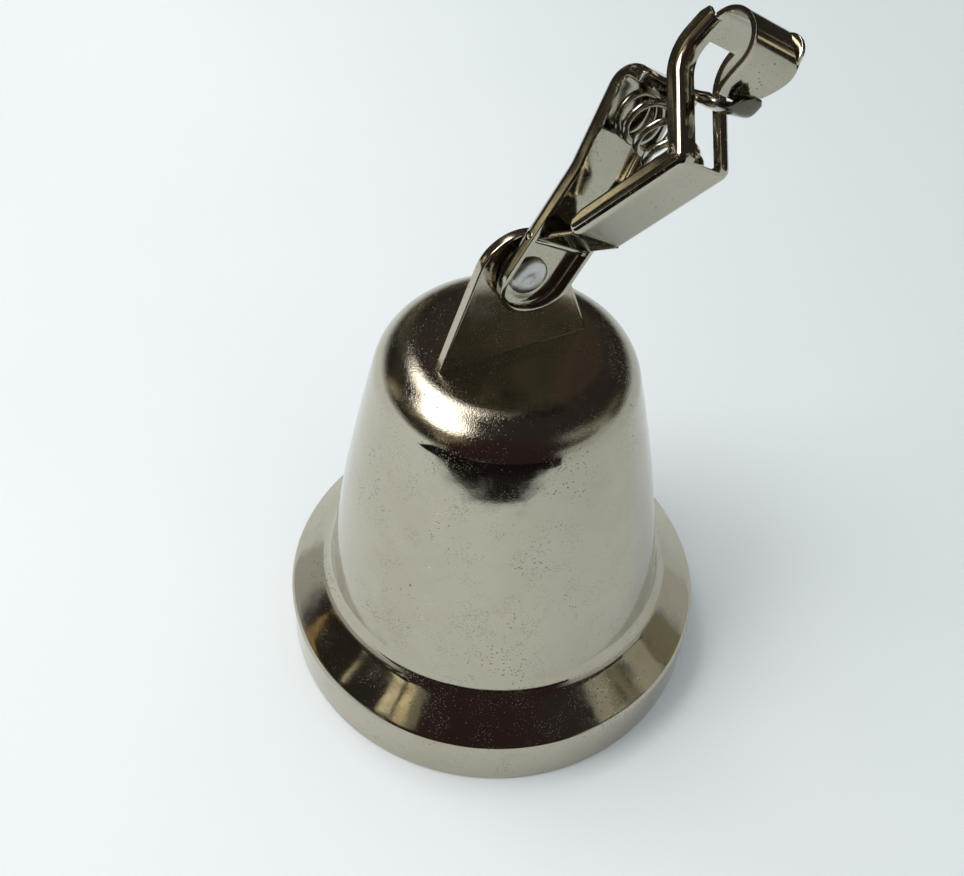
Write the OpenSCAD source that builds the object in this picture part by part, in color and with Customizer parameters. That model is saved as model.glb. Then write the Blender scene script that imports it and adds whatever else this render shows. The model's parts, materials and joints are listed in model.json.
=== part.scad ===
// Clip-on bell. A flared bell shell carries an upright tab on its crown. A spring clip
// swivels on a rivet through the tab. A ball clapper hangs inside on a wire link.
// Millimetres. Origin: centre of the mouth circle, on the plane the bell stands on. +Z up.
// The tab's front face looks along -Y and the clip leans towards +X.

/* [Bell] */
// outside radius of the straight lip at the mouth
mouth_r = 24.6; // [22:0.1:27]
// height of the straight lip
lip_h = 6.4; // [4:0.1:9]
// thickness of the bell's sheet metal
wall = 0.7; // [0.5:0.05:1.2]
// radius of the rounded edge where the lip turns in
lip_round = 1.0; // [0.8:0.1:2]
// slope of the flare, measured from upright
flare_slope = 50; // [35:1:60]
// length of the flat part of the flare
flare_len = 4.55; // [3:0.05:6]
// radius of the hollow curve between flare and body
waist_r = 4; // [3:0.1:6]
// slope of the body at its foot, from upright
body_low = 8; // [5:0.5:12]
// slope of the body at its shoulder, from upright
body_high = 13.5; // [8:0.5:16]
// length of the body's long curve
body_len = 29.4; // [24:0.1:34]
// radius of the shoulder
shoulder_r = 5; // [3:0.1:7]

/* [Tab] */
// thickness of the tab
tab_t = 1.1; // [0.8:0.05:1.6]
// half width of the tab where it meets the crown
tab_half = 8.3; // [6:0.1:10]
// radius of the tab's round top
tab_top_r = 4.5; // [3.5:0.1:6]
// height of the round top's centre above the crown
tab_top_z = 9.9; // [8:0.1:12]
// height of the swivel rivet above the crown
pivot_up = 10.2; // [9:0.1:11]
// sideways place of the swivel rivet on the tab
pivot_x = 0.4; // [0:0.1:1]
// half width of the stem that passes through the crown
stem_half = 3; // [2:0.1:4]

/* [Swivel rivet] */
// radius of the rivet's shank
shank_r = 1.0; // [0.8:0.05:1.3]
// radius of the rivet's head
head_r = 1.95; // [1.6:0.05:2.4]
// height of the rivet's head
head_h = 0.6; // [0.4:0.05:0.9]
// radius of the rivet's spread tail
tail_r = 1.5; // [1.2:0.1:2]
// height of the rivet's spread tail
tail_h = 0.6; // [0.4:0.05:0.9]
// thickness of the spacer and of the back washer
washer_t = 0.3; // [0.2:0.05:0.5]
// outside radius of the spacer
spacer_r = 2.3; // [1.8:0.1:2.8]
// outside radius of the back washer
back_washer_r = 2.2; // [1.8:0.1:2.8]

/* [Clip] */
// lean of the clip from upright, in the rest pose
lean = 32; // [0:1:60]
// sheet thickness of both arms
sheet = 0.45; // [0.35:0.05:0.6]
// half width of the back arm
arm_half = 3.6; // [3:0.1:4.5]
// depth of the back arm's side walls
arm_depth = 1.7; // [1.3:0.1:2.2]
// distance from the rivet to the arms' centre line
side_shift = 0.6; // [0:0.1:1]
// half width of the jaw tongue
tongue_half = 1.55; // [1.2:0.05:2]
// half width of the lever
lever_half = 3.05; // [2.6:0.05:4]
// half width of the window that the tongue passes through
window_half = 1.7; // [1.4:0.05:2.2]
// depth of the lever's side walls
lever_depth = 1.6; // [1:0.1:1.8]
// radius of the lever's trunnions
trunnion_r = 0.42; // [0.3:0.01:0.5]
// gap between moving parts
gap = 0.05; // [0.03:0.01:0.1]

/* [Spring] */
// mean radius of the coils
coil_r = 2.15; // [1.8:0.05:2.4]
// radius of the spring wire
coil_wire = 0.36; // [0.25:0.01:0.45]
// number of turns
coil_turns = 5.25; // [4:0.25:7]

/* [Clapper] */
// wire radius of the link and of the clapper's eye
link_wire = 0.4; // [0.3:0.05:0.6]
// radius of the link's round ends, to the wire's centre
link_r = 1.35; // [1.2:0.05:1.8]
// distance between the centres of the link's round ends
link_len = 4; // [3:0.1:6]
// radius of the clapper ball
ball_r = 3.6; // [3:0.1:5]
// height of the ball's centre above the mouth
ball_z = 12; // [10:0.5:16]

/* [Hidden] */
nickel = [0.70, 0.67, 0.60];
steel = [0.62, 0.61, 0.58];
steps = 5;
big = 60;

function unit(a) = a / norm(a);
// Points along an arc that starts at p with heading h0 and ends at h1. A positive r turns right.
function turn(p, h0, h1, r, n) =
  [for (i = [1:n]) let (h = h0 + (h1 - h0) * i / n)
    [p[0] + r * (sin(h0) - sin(h)), p[1] - r * (cos(h0) - cos(h))]];
function ahead(p, h, d) = [p[0] + d * cos(h), p[1] + d * sin(h)];
function last(a) = a[len(a) - 1];
function dir_in(p, i) = unit(p[max(i, 1)] - p[max(i, 1) - 1]);
function dir_out(p, i) = unit(p[min(i, len(p) - 2) + 1] - p[min(i, len(p) - 2)]);
function mitre(p, i) =
  let (a = dir_in(p, i), b = unit(a + dir_out(p, i)), k = 1 / (a * b)) [-b[1] * k, b[0] * k];
// A path moved sideways: positive o is to the left of its heading.
function beside(p, o) = [for (i = [0:len(p) - 1]) p[i] + o * mitre(p, i)];
function back(a) = [for (i = [len(a) - 1:-1:0]) a[i]];
function band(p, a, b) = concat(beside(p, a), back(beside(p, b)));

// Bell outline, worked from the mouth to the crown.
lip_top = [mouth_r, lip_h];
lip_arc = turn(lip_top, 90, 90 + flare_slope, -lip_round, steps);
flare_top = ahead(last(lip_arc), 90 + flare_slope, flare_len);
waist_arc = turn(flare_top, 90 + flare_slope, 90 + body_low, waist_r, steps);
body_r = body_len / ((body_high - body_low) * PI / 180);
body_arc = turn(last(waist_arc), 90 + body_low, 90 + body_high, -body_r, steps);
shoulder_arc = turn(last(body_arc), 90 + body_high, 180, -shoulder_r, steps + 1);
outline = concat([[mouth_r, 0], lip_top], lip_arc, [flare_top], waist_arc, body_arc, shoulder_arc);
crown_z = last(outline)[1];

pivot_z = crown_z + pivot_up;
tab_front = -tab_t;
seat_v = washer_t + 0.02;
trunnion_v = seat_v + sheet + 0.08 + trunnion_r;
trunnion_s = 4.1;
hinge_hole_r = trunnion_r + gap;
slot_gap = 0.04;
head_v = seat_v + sheet + 0.03;

// Back arm: centre line of the sheet, in (forward, along) coordinates from the rivet.
arm_v = seat_v + sheet / 2;
arm_lean = 10.9;
arm_knee = [arm_v, 11.5];
arm_high = ahead(arm_knee, 90 + arm_lean, 7.5);
tongue_low = 6;
tongue_mid = 25;
tongue_high = 66;
arm_bend = turn(arm_high, 90 + arm_lean, tongue_low, 2.4, 6);
tongue_flat = ahead(last(arm_bend), tongue_low, 4.5);
tongue_lift = turn(tongue_flat, tongue_low, tongue_mid, -9, 4);
tongue_rest = ahead(last(tongue_lift), tongue_mid, 0.9);
tongue_curl = turn(tongue_rest, tongue_mid, tongue_high, -1.6, 5);
tongue_end = ahead(last(tongue_curl), tongue_high, 1.3);
arm_path = concat([[arm_v, 0], arm_knee, arm_high], arm_bend);
tongue_path = concat([arm_bend[2], arm_bend[3], arm_bend[4], last(arm_bend), tongue_flat],
  tongue_lift, [tongue_rest], tongue_curl, [tongue_end]);
taper_end = 2.2;
// Raised side edges of the tongue: a straight top line that climbs, then a rounded nose.
rim_t = 0.4;
rim_slope = 22;
rim_drop = -60;
rim_start = ahead(last(arm_bend), tongue_low, 2);
rim_peak = ahead(rim_start, rim_slope, 5);
rim_nose = turn(rim_peak, rim_slope, rim_drop, 0.9, 4);

// Lever: foot, plate, upright, hook and tip.
foot_heading = 41;
plate_heading = 63.9;
rise_heading = 138.5;
foot_start = [trunnion_v, trunnion_s];
foot_end = ahead(foot_start, foot_heading, 4.9);
plate_end = ahead(foot_end, plate_heading, 12.0);
corner_arc = turn(plate_end, plate_heading, rise_heading, -0.8, 4);
back_heading = 78;
hook_r = 2.57;
hook_heading = -100;
tip_heading = -84;
rise_end = ahead(last(corner_arc), rise_heading, 6.6);
neck_arc = turn(rise_end, rise_heading, back_heading, 2.8, 4);
neck_end = ahead(last(neck_arc), back_heading, 2.1);
hook_mid = neck_end + hook_r * [sin(back_heading), -cos(back_heading)];
hook_arc = turn(neck_end, back_heading, hook_heading, hook_r, 12);
tip_start = ahead(last(hook_arc), hook_heading, 1.2);
tip_arc = turn(tip_start, hook_heading, tip_heading, -5, 3);
tip_end = ahead(last(tip_arc), tip_heading, 0.45);
lever_path = concat([foot_start, foot_end, plate_end], corner_arc, [rise_end],
  neck_arc, [neck_end], hook_arc, [tip_start], tip_arc, [tip_end]);
rise_path = concat([last(corner_arc), rise_end], neck_arc, [neck_end]);
window_top = 26.6;
tip_corner_r = 4.3;
tip_corner_s = 28.4;
// Raised corner on the hook's right edge: a round bump that stands ear_h above the outer face.
ear_h = 0.5;
ear_r = 1.6;
ear_heading = -32;

// Spring centre line: a shallow arc from the back arm to the lever.
spring_from = [0.08, 17.6];
spring_h0 = 10.9;
spring_h1 = plate_heading - 90;
spring_len = 8.04;
spring_arc_r = spring_len / ((spring_h0 - spring_h1) * PI / 180);

// Clapper heights.
bridge_h = 1.0;
stem_low = crown_z - 6.2;
bridge_z = stem_low + bridge_h / 2;
link_low = bridge_z - link_len - link_r;
eye_z = link_low + 2 * link_wire + gap - link_r;
stem_hole_r = 1.35;
mid_y = -tab_t / 2;

// Puts a drawing in (forward, along) coordinates on edge, from w0 to w1 across the clip.
module slab(w0, w1) {
  rotate([0, 0, -90]) rotate([90, 0, 0]) translate([0, 0, -w1]) linear_extrude(w1 - w0) children();
}
// Cylinder across the clip at (v, s).
module across(v, s, r, w0, w1) {
  translate([w0, -v, s]) rotate([0, 90, 0]) cylinder(r = r, h = w1 - w0, $fn = 48);
}
// Cylinder along the forward direction, from v0 to v1.
module forward(r, v0, v1) {
  translate([0, -v0, 0]) rotate([90, 0, 0]) cylinder(r = r, h = v1 - v0, $fn = 64);
}
module at_pivot() {
  translate([pivot_x, tab_front, pivot_z]) children();
}
module in_clip() {
  at_pivot() rotate([0, lean, 0]) children();
}
module arms() {
  translate([side_shift, 0, 0]) children();
}

module bell_shell() {
  color(nickel) difference() {
    rotate_extrude($fn = 160)
      polygon(concat(outline, [[0, crown_z], [0, crown_z - wall]], back(beside(outline, wall))));
    translate([-stem_half - slot_gap, -tab_t - slot_gap, crown_z - 2])
      cube([2 * (stem_half + slot_gap), tab_t + 2 * slot_gap, 4]);
  }
}

module tab_face() {
  reach = norm([tab_half, tab_top_z]);
  tilt = acos(tab_top_r / reach) - atan2(tab_top_z, tab_half);
  edge = [tab_top_r * cos(tilt), tab_top_z + tab_top_r * sin(tilt)];
  polygon([[-tab_half, 0], [tab_half, 0], edge, [-edge[0], edge[1]]]);
  translate([0, tab_top_z]) circle(r = tab_top_r, $fn = 96);
}
module hanger_tab() {
  // The stem's two lugs fold flat under the crown and hold the tab down.
  lug_w = 1.6;
  lug_t = 0.6;
  lug_reach = 2.2;
  lug_z = crown_z - wall - lug_t - 0.05;
  stem_step = 1.2;
  color(nickel) difference() {
    union() {
      translate([0, 0, crown_z + 0.02]) rotate([90, 0, 0]) linear_extrude(tab_t) tab_face();
      translate([-stem_half, -tab_t, stem_low + stem_step])
        cube([2 * stem_half, tab_t, crown_z - stem_low]);
      translate([-stem_half + stem_step, -tab_t, stem_low])
        cube([2 * (stem_half - stem_step), tab_t, 3]);
      translate([-stem_half, -tab_t - lug_reach, lug_z]) cube([lug_w, tab_t + lug_reach, lug_t]);
      translate([stem_half - lug_w, -tab_t, lug_z]) cube([lug_w, tab_t + lug_reach, lug_t]);
    }
    at_pivot() forward(shank_r, -tab_t - 1, 1);
    translate([0, 1, stem_low + bridge_h + stem_hole_r]) rotate([90, 0, 0])
      cylinder(r = stem_hole_r, h = tab_t + 2, $fn = 64);
  }
}

module spacer_washer() {
  color(steel) at_pivot() difference() {
    forward(spacer_r, 0, washer_t);
    forward(shank_r, -1, washer_t + 1);
  }
}
module back_washer() {
  color(steel) at_pivot() difference() {
    forward(back_washer_r, -tab_t - washer_t, -tab_t);
    forward(shank_r, -tab_t - washer_t - 1, 1);
  }
}
module swivel_rivet() {
  foot_v = -tab_t - washer_t;
  color(steel) at_pivot() rotate([90, 0, 0]) rotate_extrude($fn = 96)
    polygon([[0, foot_v - tail_h], [tail_r - 0.4, foot_v - tail_h], [tail_r, foot_v - tail_h / 2],
      [tail_r, foot_v], [shank_r, foot_v],
      [shank_r, head_v], [head_r, head_v], [head_r, head_v + head_h * 0.45],
      [head_r - 0.15, head_v + head_h * 0.8], [head_r - 0.5, head_v + head_h], [0, head_v + head_h]]);
}

module arm_wall(w0) {
  rim = sheet / 2 - arm_depth;
  rim_foot = beside([[arm_v, 0], arm_knee, arm_high], rim);
  inner = [0.45, 20.25];
  top = ahead(last(arm_bend), tongue_low, 0.9);
  slab(w0, w0 + sheet) polygon(concat(beside(arm_path, sheet / 2), [top + [-0.05, 0.22]],
    [top + [0.36, -1.4]], [inner, rim_foot[1], rim_foot[0]]));
}
module tail_cup() {
  difference() {
    forward(arm_half, seat_v, seat_v + 1.3);
    forward(arm_half - sheet, seat_v + sheet, seat_v + 3);
    translate([-10, -10, 0]) cube([20, 20, 20]);
  }
}
// Plan of the arm's top, seen from above: full width at the bend, tapering to the tongue.
module top_plan() {
  translate([0, 0, 19.8]) linear_extrude(8)
    polygon([[-arm_half, 4], [-arm_half, 0.2], [-tongue_half, -taper_end], [-tongue_half, -20],
      [tongue_half, -20], [tongue_half, -taper_end], [arm_half, 0.2], [arm_half, 4]]);
}
module tongue_shape() {
  intersection() {
    slab(-arm_half, arm_half) polygon(band(tongue_path, -sheet / 2, sheet / 2));
    top_plan();
    union() {
      translate([-big / 2, -9.6, 0]) cube([big, big, big]);
      translate([0, -9.4, 0]) cylinder(r = tongue_half, h = big, $fn = 64);
    }
  }
}
module tongue_edge(w0) {
  slab(w0, w0 + rim_t)
    polygon(concat([rim_start, rim_peak], rim_nose, [tongue_rest], back(tongue_lift), [tongue_flat]));
}
module clip_arm() {
  flat_path = concat([[arm_v, 0], arm_knee, arm_high], [arm_bend[0], arm_bend[1], arm_bend[2]]);
  color(nickel) in_clip() difference() {
    arms() difference() {
      union() {
        tail_cup();
        slab(-arm_half, arm_half) polygon(band(flat_path, -sheet / 2, sheet / 2));
        arm_wall(-arm_half);
        arm_wall(arm_half - sheet);
        tongue_shape();
        tongue_edge(-tongue_half);
        tongue_edge(tongue_half - rim_t);
      }
      across(trunnion_v, trunnion_s, hinge_hole_r, -arm_half - 1, arm_half + 1);
    }
    forward(shank_r + gap, -1, 4);
  }
}

module lever_walls() {
  rim = -sheet / 2 + lever_depth;
  low = beside([foot_end, plate_end], rim);
  rise = beside(rise_path, rim);
  knee = rise[0] + [0, -0.7];
  for (side = [-lever_half, lever_half - sheet]) slab(side, side + sheet)
    polygon(concat([foot_end + [0.1, -0.12], plate_end], corner_arc, [rise_end], neck_arc,
      [neck_end, hook_arc[0], hook_arc[1]], [last(rise) + [0.6, 0.55], last(rise) + [-0.1, 0.25]],
      back(rise), [knee, low[0] + [0.5, 0.5]]));
}
module hook_ear() {
  ear_mid = hook_mid + (hook_r + sheet / 2 + ear_h - ear_r) * [-sin(ear_heading), cos(ear_heading)];
  slab(lever_half - sheet, lever_half) difference() {
    translate(ear_mid) circle(r = ear_r, $fn = 64);
    translate(hook_mid) circle(r = hook_r, $fn = 96);
  }
}
module window_cut() {
  slab(-window_half, window_half)
    polygon([last(corner_arc) + [2, 0.2], last(corner_arc) + [-1.6, -1.5], [1, 23], [1, window_top],
      [7, window_top], [8.2, 23.6]]);
}
module tip_corner_cut() {
  translate([lever_half - tip_corner_r, 0, tip_corner_s]) rotate([90, 0, 0]) difference() {
    translate([0, -6, 8]) cube([8, 6, 4]);
    cylinder(r = tip_corner_r, h = big, $fn = 96);
  }
}
module lever_arm() {
  color(nickel) in_clip() arms() {
    difference() {
      union() {
        slab(-lever_half, lever_half) polygon(band(lever_path, -sheet / 2, sheet / 2));
        lever_walls();
        hook_ear();
      }
      window_cut();
      tip_corner_cut();
    }
    across(trunnion_v, trunnion_s, trunnion_r + 0.05, -lever_half, lever_half);
    across(trunnion_v, trunnion_s, trunnion_r, -arm_half, arm_half);
  }
}

// One ring of points around the spring wire at turn angle a.
function spring_mid(x) = let (h = spring_h0 + (spring_h1 - spring_h0) * x)
  [spring_from[0] + spring_arc_r * (sin(spring_h0) - sin(h)),
    spring_from[1] - spring_arc_r * (cos(spring_h0) - cos(h)), h];
// The end coils lie closer together than the middle ones.
end_crowding = 0.09;
function spring_point(x, a, b) =
  let (m = spring_mid(x - end_crowding * sin(360 * x)),
    r = coil_r + coil_wire * cos(b),
    e = coil_wire * sin(b),
    v = m[0] + e * cos(m[2]) - r * cos(a) * sin(m[2]),
    s = m[1] + e * sin(m[2]) + r * cos(a) * cos(m[2]))
  [r * sin(a), -v, s];
module clip_spring() {
  sides = 8;
  rings = round(coil_turns * 20);
  pts = [for (i = [0:rings]) for (j = [0:sides - 1])
    spring_point(i / rings, 360 * coil_turns * i / rings, 360 * j / sides)];
  skin = [for (i = [0:rings - 1]) for (j = [0:sides - 1])
    [i * sides + j, i * sides + (j + 1) % sides, (i + 1) * sides + (j + 1) % sides, (i + 1) * sides + j]];
  ends = [[for (j = [sides - 1:-1:0]) j], [for (j = [0:sides - 1]) rings * sides + j]];
  color(steel) in_clip() arms() polyhedron(points = pts, faces = concat(skin, ends), convexity = 12);
}

module half_ring(r, wire) {
  rotate_extrude(angle = 180, $fn = 64) translate([r, 0]) circle(r = wire, $fn = 24);
}
module clapper_link() {
  color(steel) translate([0, mid_y, bridge_z]) rotate([90, 0, 90]) {
    half_ring(link_r, link_wire);
    translate([0, -link_len, 0]) rotate([0, 0, 180]) half_ring(link_r, link_wire);
    for (x = [-link_r, link_r]) translate([x, 0, 0]) rotate([90, 0, 0])
      cylinder(r = link_wire, h = link_len, $fn = 24);
  }
}
module clapper_rod() {
  rod_top = eye_z - link_r;
  color(steel) translate([0, mid_y, 0]) {
    translate([0, 0, eye_z]) rotate([90, 0, 0]) rotate_extrude($fn = 64)
      translate([link_r, 0]) circle(r = link_wire, $fn = 24);
    translate([0, 0, ball_z]) cylinder(r = link_wire, h = rod_top - ball_z, $fn = 32);
  }
}
module clapper_ball() {
  color(steel) translate([0, mid_y, ball_z]) difference() {
    sphere(r = ball_r, $fn = 64);
    cylinder(r = link_wire, h = ball_r + 1, $fn = 32);
  }
}

bell_shell();
hanger_tab();
swivel_rivet();
spacer_washer();
back_washer();
clip_arm();
lever_arm();
clip_spring();
clapper_link();
clapper_rod();
clapper_ball();
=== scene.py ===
"""Clip-on bell: plated sheet-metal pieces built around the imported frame, in metres.

Lengths below are millimetres and become metres when a mesh is made. The clip is drawn in its own
axes: across (w), forward (v) and along (s), measured from the swivel rivet.
"""
import json
import math

import bmesh
import bpy
from mathutils import Matrix, Vector, noise


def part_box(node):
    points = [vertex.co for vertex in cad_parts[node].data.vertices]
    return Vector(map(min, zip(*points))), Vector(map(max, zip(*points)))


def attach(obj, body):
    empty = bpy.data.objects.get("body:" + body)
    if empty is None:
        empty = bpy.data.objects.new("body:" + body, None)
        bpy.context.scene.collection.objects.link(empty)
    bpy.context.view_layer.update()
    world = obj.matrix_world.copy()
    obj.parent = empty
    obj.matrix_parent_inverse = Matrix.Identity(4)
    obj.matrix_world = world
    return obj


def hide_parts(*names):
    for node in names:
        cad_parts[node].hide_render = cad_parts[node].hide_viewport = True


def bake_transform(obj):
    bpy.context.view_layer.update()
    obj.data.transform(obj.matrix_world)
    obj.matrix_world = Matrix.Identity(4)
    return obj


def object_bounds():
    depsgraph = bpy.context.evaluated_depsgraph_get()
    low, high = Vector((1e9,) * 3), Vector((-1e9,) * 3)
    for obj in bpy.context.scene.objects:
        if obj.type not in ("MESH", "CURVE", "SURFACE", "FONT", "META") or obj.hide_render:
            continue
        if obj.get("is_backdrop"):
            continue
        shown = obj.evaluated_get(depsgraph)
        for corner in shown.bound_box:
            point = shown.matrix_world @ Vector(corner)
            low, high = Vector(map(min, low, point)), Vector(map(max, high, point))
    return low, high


MM = 0.001
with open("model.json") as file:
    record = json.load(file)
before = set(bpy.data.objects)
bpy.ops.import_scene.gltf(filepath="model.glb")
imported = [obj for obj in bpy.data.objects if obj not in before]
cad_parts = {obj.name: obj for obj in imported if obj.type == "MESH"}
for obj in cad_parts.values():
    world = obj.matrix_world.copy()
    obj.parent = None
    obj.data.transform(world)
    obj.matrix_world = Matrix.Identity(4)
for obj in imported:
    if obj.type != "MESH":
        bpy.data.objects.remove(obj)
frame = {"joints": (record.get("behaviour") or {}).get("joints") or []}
cad_bounds = [list(corner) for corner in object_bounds()]
joints = {j["name"]: j for j in frame["joints"]}

# ---------------------------------------------------------------- places taken from the frame
pivot = Vector(joints["clip_swivel"]["pos_m"]) / MM
hinge = Vector(joints["lever_squeeze"]["pos_m"]) / MM
bridge = Vector(joints["link_rock"]["pos_m"]) / MM
link_low = Vector(joints["clapper_swing"]["pos_m"]) / MM
ball_box = [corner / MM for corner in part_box("clapper_ball")]
bell_box = [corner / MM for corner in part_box("bell_shell")]
tab_box = [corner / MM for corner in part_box("hanger_tab")]
crown_z = bell_box[1].z
mouth_r = bell_box[1].x

forward = Vector((0, -1, 0))
across = -Vector(joints["lever_squeeze"]["axis"]).normalized()
along = forward.cross(across)
if along.z < 0:
    along.negate()
side_shift = (hinge - pivot).dot(across)
hinge_v = (hinge - pivot).dot(forward)
hinge_s = (hinge - pivot).dot(along)

# ---------------------------------------------------------------- driving sizes, in millimetres
wall = 0.7
tab_t = -pivot.y
sheet = 0.45
arm_half, lever_half = 3.6, 3.05
tongue_half, window_half = 1.55, 1.7
fold_r = 0.62
arm_depth, lever_depth = 1.48, 1.4
hook_r = 2.57
ear_h, ear_r, ear_at = 0.5, 1.6, 58
seat_v = 0.32
head_v = seat_v + sheet + 0.03


# ---------------------------------------------------------------- outlines
def turn(p, h0, h1, r, step=4.0):
    """Points along an arc from p, heading h0 to h1 in degrees. A positive radius turns right."""
    n = max(3, math.ceil(abs(h1 - h0) / step))
    heads = [math.radians(h0 + (h1 - h0) * i / n) for i in range(1, n + 1)]
    a = math.radians(h0)
    return [(p[0] + r * (math.sin(a) - math.sin(h)), p[1] - r * (math.cos(a) - math.cos(h))) for h in heads]


def ahead(p, h, d):
    return (p[0] + d * math.cos(math.radians(h)), p[1] + d * math.sin(math.radians(h)))


def trace(start, heading, moves, step=0.45):
    """A path as rows of (v, s, heading, name of its stretch). A move is (name, length) or (name, radius, new heading)."""
    p, rows = start, [(start[0], start[1], heading, moves[0][0])]
    for move in moves:
        if len(move) == 2:
            n = max(1, round(move[1] / step))
            rows += [(*ahead(p, heading, move[1] * i / n), heading, move[0]) for i in range(1, n + 1)]
        else:
            name, radius, new = move
            arc = turn(p, heading, new, radius, 7.0)
            rows += [(*q, heading + (new - heading) * (i + 1) / len(arc), name) for i, q in enumerate(arc)]
            heading = new
        p = rows[-1][:2]
    return rows


def smooth_line(points, n=8):
    """A smooth curve through points, n steps between each pair."""
    out = []
    pts = [points[0]] + list(points) + [points[-1]]
    for a, b, c, d in zip(pts, pts[1:], pts[2:], pts[3:]):
        for i in range(n):
            t = i / n
            out.append(0.5 * (2 * b + (c - a) * t + (2 * a - 5 * b + 4 * c - d) * t * t + (3 * b - a - 3 * c + d) * t ** 3))
    return out + [Vector(points[-1])]


# ---------------------------------------------------------------- meshes
def clip_place(w, v, s):
    return pivot + across * (w + side_shift) + forward * v + along * s


def new_object(name, bm):
    bmesh.ops.recalc_face_normals(bm, faces=bm.faces)
    mesh = bpy.data.meshes.new(name)
    bm.to_mesh(mesh)
    bm.free()
    obj = bpy.data.objects.new(name, mesh)
    bpy.context.scene.collection.objects.link(obj)
    return obj


def apply_modifiers(obj):
    graph = bpy.context.evaluated_depsgraph_get()
    mesh = bpy.data.meshes.new_from_object(obj.evaluated_get(graph), depsgraph=graph)
    obj.modifiers.clear()
    obj.data = mesh


def boolean(obj, tool, operation):
    mod = obj.modifiers.new("boolean", "BOOLEAN")
    mod.object, mod.operation, mod.solver = tool, operation, "EXACT"
    apply_modifiers(obj)
    bpy.data.objects.remove(tool)


def bevel(obj, width, segments=3, angle=40):
    mod = obj.modifiers.new("bevel", "BEVEL")
    mod.width, mod.segments, mod.angle_limit = width, segments, math.radians(angle)
    mod.limit_method, mod.miter_outer = "ANGLE", "MITER_ARC"
    apply_modifiers(obj)


def finish_piece(obj, body, material, nodes=(), sharp=50):
    """Millimetres to metres, smooth shading with true flats, then its body and material. A piece that bends has no
    body.
    """
    mesh = obj.data
    bm = bmesh.new()
    bm.from_mesh(mesh)
    bmesh.ops.scale(bm, vec=(MM, MM, MM), verts=bm.verts)
    for face in bm.faces:
        face.smooth = True
    for edge in bm.edges:
        edge.smooth = not (len(edge.link_faces) == 2 and edge.calc_face_angle(0) > math.radians(sharp))
    bm.to_mesh(mesh)
    bm.free()
    weighted = obj.modifiers.new("normals", "WEIGHTED_NORMAL")
    weighted.keep_sharp, weighted.weight = True, 70
    apply_modifiers(obj)
    obj.data.materials.clear()
    obj.data.materials.append(material)
    if body:
        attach(obj, body)
    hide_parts(*nodes)
    return obj


def lathe(name, profile, segments=96, place=None, closed=False):
    """Turns (radius, height) points about the local z axis, then moves each point by place()."""
    bm = bmesh.new()
    rings = []
    for r, z in profile:
        count = segments if r > 1e-6 else 1
        angles = [2 * math.pi * i / segments for i in range(count)]
        points = [Vector((r * math.cos(a), r * math.sin(a), z)) for a in angles]
        rings.append([bm.verts.new(place(p) if place else p) for p in points])
    pairs = list(zip(rings, rings[1:])) + ([(rings[-1], rings[0])] if closed else [])
    for a, b in pairs:
        for i in range(segments):
            k = (i + 1) % segments
            corners = [a[i % len(a)], a[k % len(a)], b[k % len(b)], b[i % len(b)]]
            bm.faces.new(list(dict.fromkeys(corners)))
    return new_object(name, bm)


def tube(name, points, radius, sides=16, closed=False, radii=None):
    """A round wire along points, with domed ends when it is open."""
    bm = bmesh.new()
    count = len(points)
    up = Vector((0.31, 0.87, 0.38)).normalized()
    rings = []
    for i, p in enumerate(points):
        a = points[(i - 1) % count] if closed or i else points[0]
        b = points[(i + 1) % count] if closed or i < count - 1 else points[-1]
        t = (b - a).normalized()
        up = (up - t * up.dot(t)).normalized()
        side = t.cross(up)
        r = radii[i] if radii else radius
        ring = [p + (up * math.cos(q) + side * math.sin(q)) * r
                for q in (2 * math.pi * k / sides for k in range(sides))]
        rings.append([bm.verts.new(q) for q in ring])
    if closed:
        first = rings[0][0].co
        shift = min(range(sides), key=lambda k: (rings[-1][k].co - first).length)
        rings.append([rings[0][(k - shift) % sides] for k in range(sides)])
    else:
        for ring, p, n in ((rings[0], points[0], points[0] - points[1]), (rings[-1], points[-1], points[-1] - points[-2])):
            tip = bm.verts.new(p + n.normalized() * radius * 0.35)
            for k in range(sides):
                bm.faces.new([ring[k], ring[(k + 1) % sides], tip])
    for a, b in zip(rings, rings[1:]):
        for k in range(sides):
            bm.faces.new([a[k], a[(k + 1) % sides], b[(k + 1) % sides], b[k]])
    return new_object(name, bm)


def bent_sheet(name, grids, rim=0.11):
    """A closed sheet around grids of mid-surface points. Each grid is (rows of points, cells left open)."""
    bm = bmesh.new()
    for rows, holes in grids:
        verts = [[bm.verts.new(p) for p in row] for row in rows]
        for i in range(len(rows) - 1):
            for j in range(len(rows[0]) - 1):
                if (i, j) not in holes:
                    bm.faces.new([verts[i][j], verts[i][j + 1], verts[i + 1][j + 1], verts[i + 1][j]])
    bmesh.ops.delete(bm, geom=[v for v in bm.verts if not v.link_faces], context="VERTS")
    bmesh.ops.remove_doubles(bm, verts=bm.verts, dist=0.004)
    obj = new_object(name, bm)
    solid = obj.modifiers.new("sheet", "SOLIDIFY")
    solid.thickness, solid.offset = sheet, 0
    apply_modifiers(obj)
    bevel(obj, rim, 3, 55)
    return obj


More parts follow.
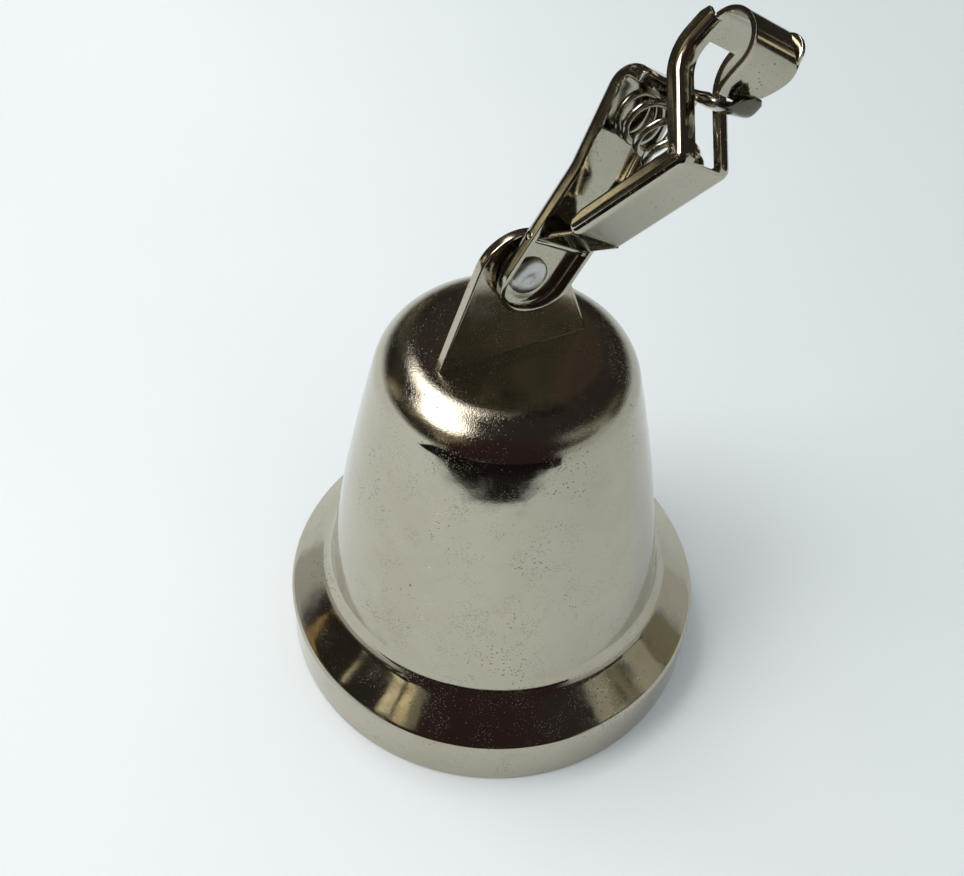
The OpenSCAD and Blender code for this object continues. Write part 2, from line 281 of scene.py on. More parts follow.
def plate(name, outline, holes, thickness, place, rim, segments=4):
    """A flat plate with round-edged outline. Outline and holes are loops of 2-D points."""
    bm = bmesh.new()
    edges = []
    for loop in [outline, *holes]:
        verts = [bm.verts.new((x, y, 0)) for x, y in loop]
        edges += [bm.edges.new((a, b)) for a, b in zip(verts, verts[1:] + verts[:1])]
    filled = bmesh.ops.triangle_fill(bm, edges=edges, use_beauty=True, use_dissolve=False)
    faces = [g for g in filled["geom"] if isinstance(g, bmesh.types.BMFace)]
    out = bmesh.ops.extrude_face_region(bm, geom=faces)
    bmesh.ops.translate(bm, vec=(0, 0, thickness), verts=[g for g in out["geom"] if isinstance(g, bmesh.types.BMVert)])
    bmesh.ops.dissolve_limit(bm, angle_limit=0.001, verts=bm.verts, edges=bm.edges)
    for v in bm.verts:
        v.co = place(v.co)
    obj = new_object(name, bm)
    bevel(obj, rim, segments, 40)
    return obj


def block(name, low, high):
    bm = bmesh.new()
    bmesh.ops.create_cube(bm, size=1)
    for v in bm.verts:
        v.co = Vector([low[i] + (high[i] - low[i]) * (v.co[i] + 0.5) for i in range(3)])
    return new_object(name, bm)


def rod(name, radius, start, end, segments=48):
    """A straight round bar between two points, for cutting and for pins."""
    axis = (end - start).normalized()
    turn_to = axis.to_track_quat("Z", "Y").to_matrix()
    length = (end - start).length
    return lathe(name, [(0, 0), (radius, 0), (radius, length), (0, length)], segments,
                 lambda p: start + turn_to @ p)


# ---------------------------------------------------------------- materials
class Graph:
    """A short way to write nodes, for a material or for the room."""

    def __init__(self, owner):
        owner.use_nodes = True
        self.material, self.tree = owner, owner.node_tree
        self.shader = self.tree.nodes.get("Principled BSDF")
        spot = self.add("ShaderNodeTexCoord", {}, "Object")
        self.place = self.add("ShaderNodeVectorMath", {0: spot, 1: (1 / MM,) * 3}, "Vector", operation="MULTIPLY")

    def add(self, kind, inputs, output, **settings):
        node = self.tree.nodes.new(kind)
        for key, value in settings.items():
            setattr(node, key, value)
        for key, value in inputs.items():
            self.put(node.inputs[key], value)
        return node.outputs[output]

    def put(self, socket, value):
        if isinstance(value, bpy.types.NodeSocket):
            self.tree.links.new(value, socket)
        else:
            socket.default_value = value

    def stretched(self, scale):
        return self.add("ShaderNodeVectorMath", {0: self.place, 1: scale}, "Vector", operation="MULTIPLY")

    def noise(self, scale, detail=3.0, rough=0.5, vector=None, seed=0.0):
        at = self.add("ShaderNodeVectorMath", {0: vector or self.place, 1: (seed, seed * 0.7, seed * 1.3)}, "Vector",
                      operation="ADD")
        return self.add("ShaderNodeTexNoise", {"Vector": at, "Scale": scale, "Detail": detail, "Roughness": rough}, "Fac")

    def ramp(self, value, low, high, to_low=0.0, to_high=1.0):
        return self.add("ShaderNodeMapRange", {"Value": value, "From Min": low, "From Max": high, "To Min": to_low,
                                               "To Max": to_high}, "Result", interpolation_type="SMOOTHSTEP")

    def math(self, operation, a, b):
        return self.add("ShaderNodeMath", {0: a, 1: b}, "Value", operation=operation)

    def mix(self, factor, a, b):
        return self.add("ShaderNodeMix", {"Factor": factor, 6: a, 7: b}, 2, data_type="RGBA")

    def bump(self, height, distance, strength=1.0, below=None):
        inputs = {"Height": height, "Distance": distance * MM, "Strength": strength}
        if below is not None:
            inputs["Normal"] = below
        return self.add("ShaderNodeBump", inputs, "Normal")


def plated(name, tint, dark, rough, grain=1.0, pits=1.0, peel=1.0, brushed=0.0, sparkle=0.0, shade_painted_at=None):
    """Bright plate: cloudy stains, smudges, tiny pits and specks, fine sparkle, a painted highlight on sharp edges,
    painted shade in hollows, and an optional near-black patch of painted shade round a given point.
    """
    g = Graph(bpy.data.materials.new(name))
    stain = g.ramp(g.noise(0.11, 5, 0.62, seed=3.1), 0.40, 0.74)
    brown = g.ramp(g.noise(0.23, 6, 0.7, seed=77.0), 0.56, 0.80)
    smudge = g.ramp(g.noise(0.35, 5, 0.6, seed=11.0), 0.38, 0.75)

    def dots(scale, zone_scale, low, high, size, seed):
        field = g.add("ShaderNodeTexVoronoi", {"Vector": g.place, "Scale": scale, "Randomness": 1.0}, "Distance")
        zone = g.ramp(g.noise(zone_scale, 3, 0.6, seed=seed), low, high, 0.0, size)
        return g.math("MULTIPLY", g.math("LESS_THAN", field, zone), pits)

    pit = dots(0.62, 0.5, 0.47, 0.75, 0.11, 23.0)
    speck = dots(2.3, 0.17, 0.40, 0.66, 0.19, 31.0)
    dust = dots(4.4, 0.30, 0.36, 0.62, 0.24, 53.0)
    spots = g.math("MAXIMUM", pit, g.math("MAXIMUM", speck, g.math("MULTIPLY", dust, 0.40)))
    # Painted highlight on sharp edges and painted shade in hollows, both read from pointiness.
    edge = g.ramp(g.add("ShaderNodeNewGeometry", {}, "Pointiness"), 0.51, 0.56)
    hollow_shade = g.ramp(g.add("ShaderNodeNewGeometry", {}, "Pointiness"), 0.44, 0.49, 1.0, 0.0)

    color = g.mix(g.math("MULTIPLY", stain, 0.35), (*tint, 1), (*dark, 1))
    color = g.mix(g.math("MULTIPLY", brown, 0.30), color, (dark[0] * 0.85, dark[1] * 0.72, dark[2] * 0.58, 1))
    color = g.mix(g.math("MULTIPLY", hollow_shade, 0.35), color, (*[c * 0.45 for c in dark], 1))
    color = g.mix(g.math("MULTIPLY", edge, 0.35), color, (*[min(1, c * 1.25) for c in tint], 1))
    color = g.mix(g.math("MULTIPLY", spots, 0.72), color, (0.05, 0.038, 0.025, 1))
    # Painted shade: round the given point the colour turns nearly black, with a noisy edge.
    if shade_painted_at:
        away = g.add("ShaderNodeVectorMath", {0: g.place, 1: shade_painted_at}, "Value", operation="DISTANCE")
        away = g.math("ADD", away, g.math("MULTIPLY", g.noise(1.1, 3, 0.6, seed=67.0), 1.2))
        color = g.mix(g.ramp(away, 2.5, 3.6, 0.88, 0.0), color, (0.060, 0.050, 0.032, 1))
    g.put(g.shader.inputs["Base Color"], color)
    g.put(g.shader.inputs["Metallic"], 1.0)

    roughness = g.ramp(smudge, 0, 1, rough, rough + 0.07 * grain)
    g.put(g.shader.inputs["Roughness"], g.math("ADD", roughness, g.math("MULTIPLY", spots, 0.35)))

    normal = g.bump(g.noise(0.28, 2, 0.4, seed=41.0), 0.02 * peel)
    normal = g.bump(g.noise(3.2, 3, 0.6, seed=47.0), 0.0018 * grain, below=normal)
    if sparkle:
        top = g.ramp(g.add("ShaderNodeSeparateXYZ", {"Vector": g.place}, "Z"), crown_z - 3.5, crown_z - 1.2)
        normal = g.bump(g.math("MULTIPLY", g.noise(6.5, 2, 0.7, seed=91.0), top), 0.022 * sparkle, below=normal)
    if brushed:
        lines = g.noise(1.0, 3, vector=g.stretched((0.4, 14.0, 14.0)), seed=61.0)
        normal = g.bump(lines, 0.012 * brushed, below=normal)
    g.put(g.shader.inputs["Normal"], g.bump(spots, -0.03, below=normal))
    return g.material


bell_metal = plated("bell_nickel", (0.47, 0.43, 0.345), (0.39, 0.345, 0.26), 0.075, sparkle=1.0)
tab_metal = plated("tab_nickel", (0.46, 0.41, 0.33), (0.38, 0.33, 0.25), 0.13, grain=1.4)
clip_metal = plated("clip_nickel", (0.46, 0.43, 0.345), (0.38, 0.345, 0.26), 0.09, pits=0.7)
# The arm's curled tongue end gets a near-black patch of painted shade.
arm_metal = plated("arm_nickel", (0.46, 0.43, 0.345), (0.38, 0.345, 0.26), 0.09, pits=0.7, shade_painted_at=clip_place(0, 10.6, 24.3))
rivet_metal = plated("rivet_steel", (0.56, 0.56, 0.54), (0.45, 0.44, 0.42), 0.28, grain=1.6)
spring_metal = plated("spring_steel", (0.42, 0.385, 0.32), (0.32, 0.28, 0.22), 0.16, grain=1.3)
clapper_metal = plated("clapper_steel", (0.55, 0.54, 0.50), (0.44, 0.41, 0.36), 0.22, grain=1.5, brushed=1.0)


# ---------------------------------------------------------------- the bell
def bell_outline():
    """(radius, height) from the rim to the crown, outside face, as the frame's bell has it."""
    lip_h, lip_round, slope, flare_len, waist_r = 6.4, 1.0, 50, 4.55, 4.0
    low, high, body_len, shoulder_r = 8, 13.5, 29.4, 5.0
    points = [(mouth_r, 0.4 + (lip_h - 0.4) * i / 8) for i in range(9)]
    points += turn(points[-1], 90, 90 + slope, -lip_round, 5)
    start = points[-1]
    points += [ahead(start, 90 + slope, flare_len * i / 8) for i in range(1, 9)]
    points += turn(points[-1], 90 + slope, 90 + low, waist_r, 2.5)
    points += turn(points[-1], 90 + low, 90 + high, -body_len / math.radians(high - low), 0.18)
    points += turn(points[-1], 90 + high, 180, -shoulder_r, 3)
    return points


def offset_line(points, distance):
    out = []
    for i, p in enumerate(points):
        a, b = Vector(points[max(i - 1, 0)]), Vector(points[min(i + 1, len(points) - 1)])
        t = (b - a).normalized()
        out.append((p[0] - t.y * distance, p[1] + t.x * distance))
    return out


def bell_shape(p):
    """Small hand-made unevenness of the pressed and polished shell."""
    h = p.z / crown_z
    flat = Vector((p.x, p.y, 0))
    if flat.length < 1e-6:
        return p
    out = flat.normalized()
    top = max(0.0, (h - 0.9) / 0.1)
    fade = min(1.0, p.z / 5.0)
    wave = noise.noise(Vector((p.x * 0.11, p.y * 0.11, p.z * 0.09 + 7.0)))
    ripple = noise.noise(Vector((p.x * 0.3 + 4.0, p.y * 0.3, p.z * 0.25)))
    hole = 1.0 if flat.length > 5.0 else flat.length / 5.0
    lift = (0.05 * wave + 0.02 * ripple) * fade
    return p + out * lift * (1 - top) + Vector((0, 0, 1)) * (0.05 * wave + 0.012 * ripple - 0.03) * top * hole


outer = bell_outline()
flat_top = [(r, outer[-1][1]) for r in [outer[-1][0] * k / 7 for k in range(6, 0, -1)]]
inner = offset_line(outer, wall)
rim_round = [(mouth_r - wall / 2 + wall / 2 * math.cos(a), 0.35 - 0.35 * math.sin(a))
             for a in (math.radians(20 + 28 * i) for i in range(6))]
inner_top = [(r, crown_z - wall) for r, _ in flat_top]
profile = ([(0, crown_z)] + flat_top[::-1] + outer[::-1] + rim_round + inner + inner_top + [(0, crown_z - wall)])
bell = lathe("bell_shell_plated", profile, 288, bell_shape)
slot_w = 6.08
boolean(bell, block("slot", (-slot_w / 2, -tab_t - 0.04, crown_z - 2), (slot_w / 2, 0.04, crown_z + 2)), "DIFFERENCE")
finish_piece(bell, "bell", bell_metal, ["bell_shell"])


# ---------------------------------------------------------------- the tab and its rivet
def circle(cx, cy, r, n, start=0.0, sweep=360.0):
    whole = sweep == 360.0
    steps = n if whole else n - 1
    return [(cx + r * math.cos(math.radians(start + sweep * i / steps)),
             cy + r * math.sin(math.radians(start + sweep * i / steps))) for i in range(n)]


tab_half = tab_box[1].x
tab_top_r = 4.5
tab_top = tab_box[1].z - tab_top_r
foot = crown_z - 0.12
reach = math.hypot(tab_half, tab_top - foot)
tilt = math.degrees(math.acos(tab_top_r / reach)) - math.degrees(math.atan2(tab_top - foot, tab_half))
stem_half, stem_low = 3.0, tab_box[0].z
stem_hole = (0, bridge.z + 0.5 + 1.35)
tab_outline = [(-tab_half, foot), (-stem_half, foot), (-stem_half, stem_low + 1.2), (-stem_half + 1.2, stem_low),
               (stem_half - 1.2, stem_low), (stem_half, stem_low + 1.2), (stem_half, foot), (tab_half, foot)]
tab_outline += circle(0, tab_top, tab_top_r, 40, tilt, 180 - 2 * tilt)
tab = plate("hanger_tab_plated", tab_outline, [circle(*stem_hole, 1.35, 40), circle(pivot.x, pivot.z, 1.0, 40)], tab_t,
            lambda c: Vector((c.x, -tab_t + c.z, c.y)), 0.3)
for side in (-1, 1):
    x0, x1 = sorted((side * stem_half, side * (stem_half - 1.6)))
    ear = block("ear", (x0, -tab_t - 2.2, crown_z - wall - 0.65), (x1, -0.3, crown_z - wall - 0.05))
    bevel(ear, 0.12, 3)
    boolean(tab, ear, "UNION")
finish_piece(tab, "bell", tab_metal, ["hanger_tab"])


def on_rivet(p):
    """Local z runs forward along the rivet."""
    return Vector((pivot.x + p.x, pivot.y - p.z, pivot.z + p.y))


foot_v = -tab_t - 0.3
head_h = 0.6
rivet_profile = [(0, foot_v - 0.56), (0.5, foot_v - 0.6), (0.95, foot_v - 0.56), (1.3, foot_v - 0.4), (1.47, foot_v - 0.2),
                 (1.5, foot_v), (1.0, foot_v), (1.0, head_v), (1.85, head_v), (1.93, head_v + 0.06),
                 (1.95, head_v + 0.2), (1.88, head_v + 0.36), (1.68, head_v + 0.49), (1.35, head_v + 0.57),
                 (0.9, head_v + head_h), (0.55, head_v + 0.585), (0.35, head_v + 0.54), (0.15, head_v + 0.52), (0, head_v + 0.515)]
rivet = lathe("swivel_rivet_head", rivet_profile, 72, on_rivet)
bevel(rivet, 0.05, 2)
finish_piece(rivet, "bell", rivet_metal, ["swivel_rivet"])


def washer(name, node_name, radius, v0, v1):
    profile = [(1.0, v0), (radius, v0), (radius, v1), (1.0, v1)]
    piece = lathe(name, profile, 72, on_rivet, closed=True)
    bevel(piece, 0.07, 3)
    finish_piece(piece, "bell", rivet_metal, [node_name])


washer("spacer_washer_steel", "spacer_washer", 2.3, 0.0, 0.3)
washer("back_washer_steel", "back_washer", 2.2, -tab_t - 0.3, -tab_t)


# ---------------------------------------------------------------- the clip
def fold(half, depth, lines=4, arcs=6):
    """A folded edge in section, from the flat's end to the rim: (across, depth) on the right-hand side."""
    arc = [(half - fold_r + fold_r * math.sin(a), fold_r * (1 - math.cos(a)))
           for a in (math.pi / 2 * i / arcs for i in range(arcs + 1))]
    return arc + [(half, fold_r + (depth - fold_r) * i / lines) for i in range(1, lines + 1)]


def raised(row, w, depth, towards):
    """The point w across and depth off a path row. towards is 1 for the left of its heading, -1 for the right."""
    h = math.radians(row[2])
    return clip_place(w, row[0] - math.sin(h) * depth * towards, row[1] + math.cos(h) * depth * towards)


def flat_grid(rows, columns):
    return [[raised(row, w, 0, 1) for w in columns(i)] for i, row in enumerate(rows)]


def wall_grid(rows, side, half, depth, towards):
    return [[raised(row, side * w, d, towards) for w, d in fold(half, depth(i))] for i, row in enumerate(rows)]


def arm_piece():
    arm_v = seat_v + sheet / 2
    rows = trace((arm_v, 0), 90, [("seat", 11.1), ("knee", -4.0, 100.9), ("lean", 7.1), ("bend", 2.4, 6),
                                  ("top", 0.9), ("taper", 2.2), ("tongue", 1.4), ("lift", -9.0, 25),
                                  ("tongue", 0.9), ("curl", -1.6, 66), ("end", 1.3)])
    flat = arm_half - fold_r
    last_wall = max(i for i, r in enumerate(rows) if r[3] == "top")
    taper = [i for i, r in enumerate(rows) if r[3] == "taper"]
    end_v = rows[-1][0]

    def half_at(i):
        if i <= last_wall:
            return flat
        if i <= taper[-1]:
            t = (i - last_wall) / (taper[-1] - last_wall)
            return flat + (tongue_half - flat) * (t * t * (3 - 2 * t))
        left = sum(math.dist(a[:2], b[:2]) for a, b in zip(rows[i:], rows[i + 1:])) + 0.06
        away = max(0.0, tongue_half - left, tongue_half - (end_v + 0.22 - rows[i][0]))
        return math.sqrt(max(0.06, tongue_half ** 2 - away ** 2))

    def dish_at(i):
        """How far the tongue's side edges stand above its middle."""
        v = rows[i][0]
        if i <= last_wall or v < 3.0:
            return 0.0
        rise, fall = min(1.0, (v - 3.0) / 4.4), max(0.0, min(1.0, (9.3 - v) / 1.5))
        return 0.85 * rise * fall * fall * (3 - 2 * fall) + 0.12 * (1 - fall)

    def depth_at(i):
        row = rows[i]
        ease = max(0.0, min(1.0, (row[1] - 18.5) / 3.0))
        return arm_depth - 0.45 * ease

    steps = [k / 6 for k in range(-6, 7)]
    grids = [([[raised(row, half_at(i) * k, dish_at(i) * abs(k) ** 3, 1) for k in steps]
               for i, row in enumerate(rows)], set())]
    walled = rows[:last_wall + 1]
    for side in (-1, 1):
        grids.append((wall_grid(walled, side, arm_half, depth_at, -1), set()))
    # The dished tail: the section swings round the rivet from one side wall to the other.
    swing = [math.radians(180 + 180 * i / 36) for i in range(37)]
    dish = [(flat * k / 6, 0.0) for k in range(0, 6)]
    for part in (dish + fold(arm_half, arm_depth)[:1], fold(arm_half, arm_depth)):
        tail = []
        for a in swing:
            low = 0.42 * math.sin(a) ** 2
            tail.append([clip_place(r * math.cos(a), arm_v + d * (1 - low * (d / arm_depth)), r * math.sin(a))
                         for r, d in part])
        grids.append((tail, set()))
    obj = bent_sheet("clip_arm_plated", grids)
    cut = rod("cut", 0.47, clip_place(-5, hinge_v, hinge_s), clip_place(5, hinge_v, hinge_s))
    boolean(obj, cut, "DIFFERENCE")
    shaft = rod("cut", 1.05, pivot - forward * 1, pivot + forward * 4)
    boolean(obj, shaft, "DIFFERENCE")
    return obj


arm = arm_piece()
finish_piece(arm, "clip", arm_metal, ["clip_arm"])


def prism(name, outline, w0, w1):
    """A bar across the clip with a (forward, along) outline."""
    bm = bmesh.new()
    ends = [[bm.verts.new(clip_place(w, v, s)) for v, s in outline] for w in (w0, w1)]
    for end in ends:
        bm.faces.new(end)
    for k in range(len(outline)):
        n = (k + 1) % len(outline)
        bm.faces.new([ends[0][k], ends[0][n], ends[1][n], ends[1][k]])
    return new_object(name, bm)


def lever_piece():
    rows = trace((hinge_v, hinge_s), 41, [("foot", 4.6), ("knee", -1.5, 63.9), ("plate", 11.7), ("corner", -0.8, 138.5),
                                          ("rise", 6.6), ("neck", 2.8, 78), ("back", 2.1), ("hook", hook_r, -100),
                                          ("tip", 1.2), ("tip", -5.0, -84), ("tip", 0.45)], 0.4)
    flat = lever_half - fold_r
    corner_r, corner_s = 4.3, 28.4
    first = min(i for i, r in enumerate(rows) if r[3] == "knee")
    last = max(i for i, r in enumerate(rows) if r[3] == "hook" and r[2] > 67)
    turned = min(i for i, r in enumerate(rows) if r[3] == "hook" and r[2] < 20)
    open_from = min(i for i, r in enumerate(rows) if r[3] == "corner" and r[2] > 95)
    open_to = max(i for i, r in enumerate(rows) if r[3] == "back" and r[1] < 26.7)

    def trimmed(i, w):
        """Right-hand side of the tip is cut to a large radius."""
        drop = corner_s - rows[i][1]
        if i < turned or drop <= 0:
            return w
        limit = lever_half - corner_r + math.sqrt(max(0.0, corner_r ** 2 - drop ** 2))
        return -lever_half + (w + lever_half) * (limit + lever_half) / (2 * lever_half)

    def depth_at(i):
        i += first
        grow = min(1.0, (i - first) / 6)
        drop = min(1.0, (last - i) / 2)
        return fold_r + 0.08 + (lever_depth - fold_r - 0.08) * grow * (0.55 + 0.45 * drop)

    side_lines = [flat, 2.07, window_half]
    columns = [-w for w in side_lines] + [window_half * k / 4 for k in range(-3, 4)] + side_lines[::-1]
    first_gap = len(side_lines) - 1
    gap = {(i, j) for i in range(open_from, open_to) for j in range(first_gap, first_gap + 8)}
    grids = [(flat_grid(rows, lambda i: [trimmed(i, w) for w in columns]), gap)]
    for side in (-1, 1):
        grids.append((wall_grid(rows[first:last + 1], side, lever_half, depth_at, 1), set()))
        edge = [side * (flat + (lever_half - flat) * k / 2) for k in range(3)]
        for part in (range(0, first + 1), range(last, len(rows))):
            grids.append(([[raised(rows[i], trimmed(i, w), 0, 1) for w in edge] for i in part], set()))
    obj = bent_sheet("lever_arm_plated", grids)
    # The rolled foot and its two trunnions, turned as one bar.
    end, step = arm_half + 0.12, lever_half - 0.02
    half = [(0.47, step - 0.06), (0.42, step), (0.42, end - 0.14), (0.38, end - 0.05), (0.28, end), (0, end)]
    place = Matrix.Translation(clip_place(0, hinge_v, hinge_s)) @ across.to_track_quat("Z", "Y").to_matrix().to_4x4()
    bar = lathe("bar", [(r, -z) for r, z in half[::-1]] + half, 40, lambda p: place @ p)
    boolean(obj, bar, "UNION")
    # The raised corner at the right end of the hook.
    v, s, h = [r for r in rows if r[3] == "back"][-1][:3]
    hook_mid = ahead((v, s), h - 90, hook_r)
    ear_mid = ahead(hook_mid, ear_at, hook_r + sheet / 2 + ear_h - 0.02 - ear_r)
    ring = [ahead(ear_mid, ear_at + 12 * i, ear_r) for i in range(6, -7, -1)]
    ring += [ahead(hook_mid, ear_at + 14 * i, hook_r - 0.07) for i in (-2.5, -1.5, -0.5, 0.5, 1.5, 2.5)]
    ear = prism("ear", ring, lever_half - sheet + 0.04, lever_half - 0.02)
    bevel(ear, 0.1, 3)
    boolean(obj, ear, "UNION")
    return obj


lever = lever_piece()
finish_piece(lever, "lever", clip_metal, ["lever_arm"])


# ---------------------------------------------------------------- the spring
def spring_points():
    """The coil's centre line leaves the arm square and meets the lever square; its end coils are closed."""
    start, h0, h1, length = (0.08, 17.6), 10.9, -26.1, 8.04
    bend_r = length / math.radians(h0 - h1)
    turns, coil_r = 5.25, 2.15
    points = []
    for i in range(round(turns * 32) + 1):
        x = i / (turns * 32)
        a = 2 * math.pi * turns * x
        h = math.radians(h0 + (h1 - h0) * (x - 0.09 * math.sin(2 * math.pi * x)))
        v = start[0] + bend_r * (math.sin(math.radians(h0)) - math.sin(h)) - coil_r * math.cos(a) * math.sin(h)
        s = start[1] - bend_r * (math.cos(math.radians(h0)) - math.cos(h)) + coil_r * math.cos(a) * math.cos(h)
        points.append(clip_place(coil_r * math.sin(a), v, s))
    return points


coil = spring_points()
spring = tube("clip_spring_coil", coil, 0.36, 14)
finish_piece(spring, None, spring_metal, ["clip_spring"])
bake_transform(spring)

# ---------------------------------------------------------------- the clapper
wire, loop_r = 0.4, 1.35
link_len = bridge.z - link_low.z - loop_r
mid_y = bridge.y
link_line = [Vector((0, mid_y + loop_r * math.cos(a), bridge.z + loop_r * math.sin(a)))
             for a in (math.pi * i / 24 for i in range(25))]
link_line += [Vector((0, mid_y - loop_r, bridge.z - link_len * k / 6)) for k in range(1, 6)]
link_line += [Vector((0, mid_y + loop_r * math.cos(a), bridge.z - link_len + loop_r * math.sin(a)))
              for a in (math.pi + math.pi * i / 24 for i in range(25))]
link_line += [Vector((0, mid_y + loop_r, bridge.z - link_len * k / 6)) for k in range(5, 0, -1)]
link = tube("clapper_link_wire", link_line, wire, 16, closed=True)
finish_piece(link, "link", clapper_metal, ["clapper_link"])

ball_at = (ball_box[0] + ball_box[1]) / 2
ball_r = (ball_box[1].y - ball_box[0].y) / 2
eye_z = link_low.z + 2 * wire + 0.05 - loop_r
eye = [(0, -3.4), (0, -2.6), (0.12, -1.95), (0.62, -1.4), (1.12, -0.76), (loop_r, 0), (0.955, 0.955), (0, loop_r),
       (-0.955, 0.955), (-loop_r, 0), (-1.1, -0.78), (-0.62, -1.22), (-0.2, -1.5)]
rod_line = [Vector((0, mid_y, ball_at.z + (eye_z - 4 - ball_at.z) * k / 12)) for k in range(12)]
rod_line += smooth_line([Vector((x, mid_y, eye_z + z)) for x, z in eye], 6)
clapper_rod = tube("clapper_rod_wire", rod_line, wire, 16)
finish_piece(clapper_rod, "clapper", clapper_metal, ["clapper_rod"])

ball_profile = [(0, -ball_r)]
ball_profile += [(ball_r * math.cos(a), ball_r * math.sin(a)) for a in (math.radians(-88 + 3 * i) for i in range(56))]
ball_profile += [(wire + 0.22, ball_r * 0.975), (wire + 0.06, ball_r * 0.93), (wire + 0.03, ball_r * 0.8), (0, ball_r * 0.78)]
ball_profile = [(r * (0.993 if abs(z) < 0.12 else 1), z) for r, z in ball_profile]
ball = lathe("clapper_ball_turned", ball_profile, 96, lambda p: ball_at + p)
finish_piece(ball, "clapper", clapper_metal, ["clapper_ball"])


# ---------------------------------------------------------------- floor, light and camera
def paper():
    g = Graph(bpy.data.materials.new("paper"))
    fibre = g.noise(1.4, 4, 0.6)
    tone = g.ramp(g.noise(0.012, 2), 0.3, 0.7)
    # Painted shade: the paper turns darker towards the right of the view.
    toward_shade = g.add("ShaderNodeVectorMath", {0: g.place, 1: (0.88, -0.30, 0)}, "Value", operation="DOT_PRODUCT")
    pale = g.mix(tone, (0.80, 0.84, 0.865, 1), (0.83, 0.865, 0.885, 1))
    g.put(g.shader.inputs["Base Color"], g.mix(g.ramp(toward_shade, -60, 110), pale, (0.62, 0.665, 0.68, 1)))
    g.put(g.shader.inputs["Roughness"], 0.85)
    g.put(g.shader.inputs["Normal"], g.bump(fibre, 0.02))
    return g.material


bpy.ops.mesh.primitive_plane_add(size=3, location=(0, 0, -0.00002))
floor = bpy.context.object
floor.name = "paper_floor"
floor.data.materials.append(paper())
floor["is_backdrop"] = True

camera_at = Vector((-44.85, -77.68, 129.72)) * MM
look = Vector((0.3217, 0.5899, -0.7407))
roll = 0.0548
camera_data = bpy.data.cameras.new("camera")
camera_data.lens, camera_data.sensor_width, camera_data.clip_start = 45.6, 36, 0.005
camera = bpy.data.objects.new("camera", camera_data)
bpy.context.scene.collection.objects.link(camera)
camera.matrix_world = (Matrix.Translation(camera_at) @ look.to_track_quat("-Z", "Y").to_matrix().to_4x4()
                       @ Matrix.Rotation(roll, 4, "Z"))
bpy.context.scene.camera = camera


def soft_box(name, direction, distance, size, power, color=(1, 1, 1), height=None):
    """A soft light that shines at the bell from a direction."""
    data = bpy.data.lights.new(name, "AREA")
    data.shape, data.size, data.size_y = "RECTANGLE", size, height or size
    data.energy, data.color = power, color
    light = bpy.data.objects.new(name, data)
    d = Vector(direction).normalized()
    light.location = Vector((0, 0, 0.03)) + d * distance
    light.rotation_euler = d.to_track_quat("Z", "Y").to_euler()
    bpy.context.scene.collection.objects.link(light)


soft_box("key", (-0.62, 0.12, 0.77), 0.7, 0.30, 1.05, (1.0, 0.985, 0.96))

# What only the metal mirrors: a dark cloth lying in front of the bell, past the paper.
cloth_at, cloth_near, cloth_far = 231, 93, 1700


def on_floor(heading, reach):
    """A floor point, by its heading round from +X in degrees and its distance from the bell's axis."""
    return reach * math.cos(math.radians(heading)), reach * math.sin(math.radians(heading))


strip = bpy.data.meshes.new("strip")
outline = [on_floor(cloth_at + turn, cloth_near / math.cos(math.radians(0.8 * turn))) for turn in range(-52, 53, 8)]
outline += [on_floor(cloth_at + turn, cloth_far) for turn in range(55, -42, -24)]
strip.from_pydata([(x * MM, y * MM, 0.2 * MM) for x, y in outline], [], [range(len(outline))])
strip_object = bpy.data.objects.new("dark_strip", strip)
bpy.context.scene.collection.objects.link(strip_object)
cloth = Graph(bpy.data.materials.new("strip"))
cloth.put(cloth.shader.inputs["Base Color"], (0.012, 0.009, 0.008, 1))
cloth.put(cloth.shader.inputs["Specular IOR Level"], 0.0)
strip.materials.append(cloth.material)
# A dark wall round the clip's height, seen only in the metal: a painted dark reflection, with sparse glowing golden
# patches as painted highlights. It is low enough to leave the light at the horizon to the bell's flare.
circle_at = [math.radians(-30 + 5 * k) for k in range(47)]
ring = [(150 * MM * math.cos(a), 150 * MM * math.sin(a)) for a in circle_at]
wall_mesh = bpy.data.meshes.new("dark_wall")
wall_mesh.from_pydata([(x, y, z * MM) for z in (49, 135) for x, y in ring], [],
                      [(k, k + 1, k + 48, k + 47) for k in range(46)])
wall_object = bpy.data.objects.new("dark_wall", wall_mesh)
bpy.context.scene.collection.objects.link(wall_object)
shade = Graph(bpy.data.materials.new("wall"))
# Painted highlights: sparse patches of the wall glow golden for the metal to mirror.
glow_patch = shade.ramp(shade.noise(0.032, 3, 0.55, seed=9.0), 0.60, 0.66)
shade.put(shade.shader.inputs["Base Color"], (0.012, 0.010, 0.009, 1))
shade.put(shade.shader.inputs["Specular IOR Level"], 0.0)
shade.put(shade.shader.inputs["Emission Color"], shade.mix(glow_patch, (0.020, 0.018, 0.014, 1), (1.0, 0.90, 0.62, 1)))
shade.put(shade.shader.inputs["Emission Strength"], 1.0)
wall_mesh.materials.append(shade.material)
for card in (strip_object, wall_object):
    card.visible_camera = card.visible_diffuse = card.visible_shadow = False
    card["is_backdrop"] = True

# The room: pale behind the bell and on the paper; the metal mirrors a dim room with a few lit patches.
world = bpy.data.worlds.new("room")
bpy.context.scene.world = world
room = Graph(world)
way = room.add("ShaderNodeTexCoord", {}, "Generated")
cloud = room.add("ShaderNodeTexNoise", {"Vector": way, "Scale": 5.5, "Detail": 3.0, "Roughness": 0.6}, "Color")
shift = room.add("ShaderNodeVectorMath", {0: cloud, 1: (0.5, 0.5, 0.5)}, "Vector", operation="SUBTRACT")
shift = room.add("ShaderNodeVectorMath", {0: shift, "Scale": 0.50}, "Vector", operation="SCALE")
bent = room.add("ShaderNodeVectorMath", {0: way, 1: shift}, "Vector", operation="ADD")
bent = room.add("ShaderNodeVectorMath", {0: bent}, "Vector", operation="NORMALIZE")
height = room.add("ShaderNodeSeparateXYZ", {"Vector": way}, "Z")


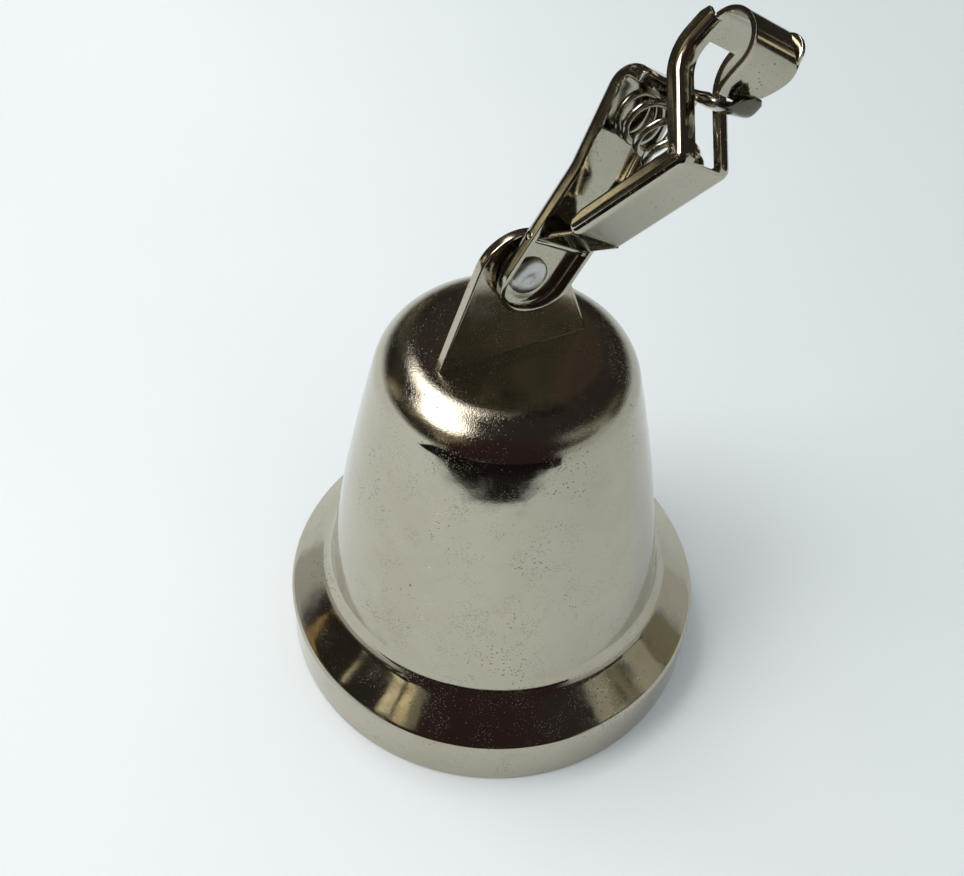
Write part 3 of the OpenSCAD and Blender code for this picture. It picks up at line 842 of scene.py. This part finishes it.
def near(direction, inner, outer, at):
    """1 within inner degrees of a direction, 0 past outer degrees."""
    close = room.add("ShaderNodeVectorMath", {0: at, 1: Vector(direction).normalized()}, "Value", operation="DOT_PRODUCT")
    return room.ramp(close, math.cos(math.radians(outer)), math.cos(math.radians(inner)))


def toward(heading, up):
    """The direction at a heading round from +X and an angle above the floor, in degrees."""
    flat = math.cos(math.radians(up))
    return Vector((*[flat * c for c in on_floor(heading, 1)], math.sin(math.radians(up))))


tone = room.mix(room.ramp(height, 0.15, 0.24, 1.0, 0.0), (0.040, 0.033, 0.033, 1), (0.52, 0.54, 0.53, 1))
dark, dim = (0.036, 0.022, 0.022), (0.085, 0.068, 0.048)
pale, olive, brown, gold = (0.42, 0.42, 0.35), (0.24, 0.235, 0.165), (0.40, 0.26, 0.12), (1.25, 1.05, 0.68)
# The room's dark front, its pale back wall and one dim corner.
patches = [(240, 1, 38, dark, way), (240, 38, 15, dark, bent), (95, 20, 11, pale, bent), (55, 45, 6, dim, bent)]
# Two rows of things climb away from the back: warm ones on the left, dull ones on the right.
patches += [(150 + 11 * k, 20 + 3.5 * k, 4, (brown, gold, olive)[k % 3], bent) for k in range(6)]
patches += [(-22 - 12 * k, 15 + 5 * k, 6, (olive, pale)[k % 2], bent) for k in range(4)]
for heading, up, size, color, at in patches:
    tone = room.mix(near(toward(heading, up), size, 1.35 * size, at), tone, (*color, 1))
# A long lamp overhead, from the left towards the back.
lamp_ends = toward(180, 50), toward(100, 60)
glare = near(lamp_ends[0], 7, 11, way)
for k in (1, 2, 3):
    glare = room.math("MAXIMUM", glare, near(lamp_ends[0].lerp(lamp_ends[1], k / 3), 7, 11, way))
tone = room.mix(glare, tone, (6.5, 6.4, 6.2, 1))
seen = room.add("ShaderNodeLightPath", {}, "Is Camera Ray")
lit = room.add("ShaderNodeLightPath", {}, "Is Diffuse Ray")
tone = room.mix(room.math("MAXIMUM", seen, lit), tone, (0.60, 0.625, 0.64, 1))
room.put(room.tree.nodes["Background"].inputs["Color"], tone)
bpy.context.scene.view_settings.view_transform = "Standard"

size = {"cad": cad_bounds, "visual": [list(corner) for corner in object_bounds()]}
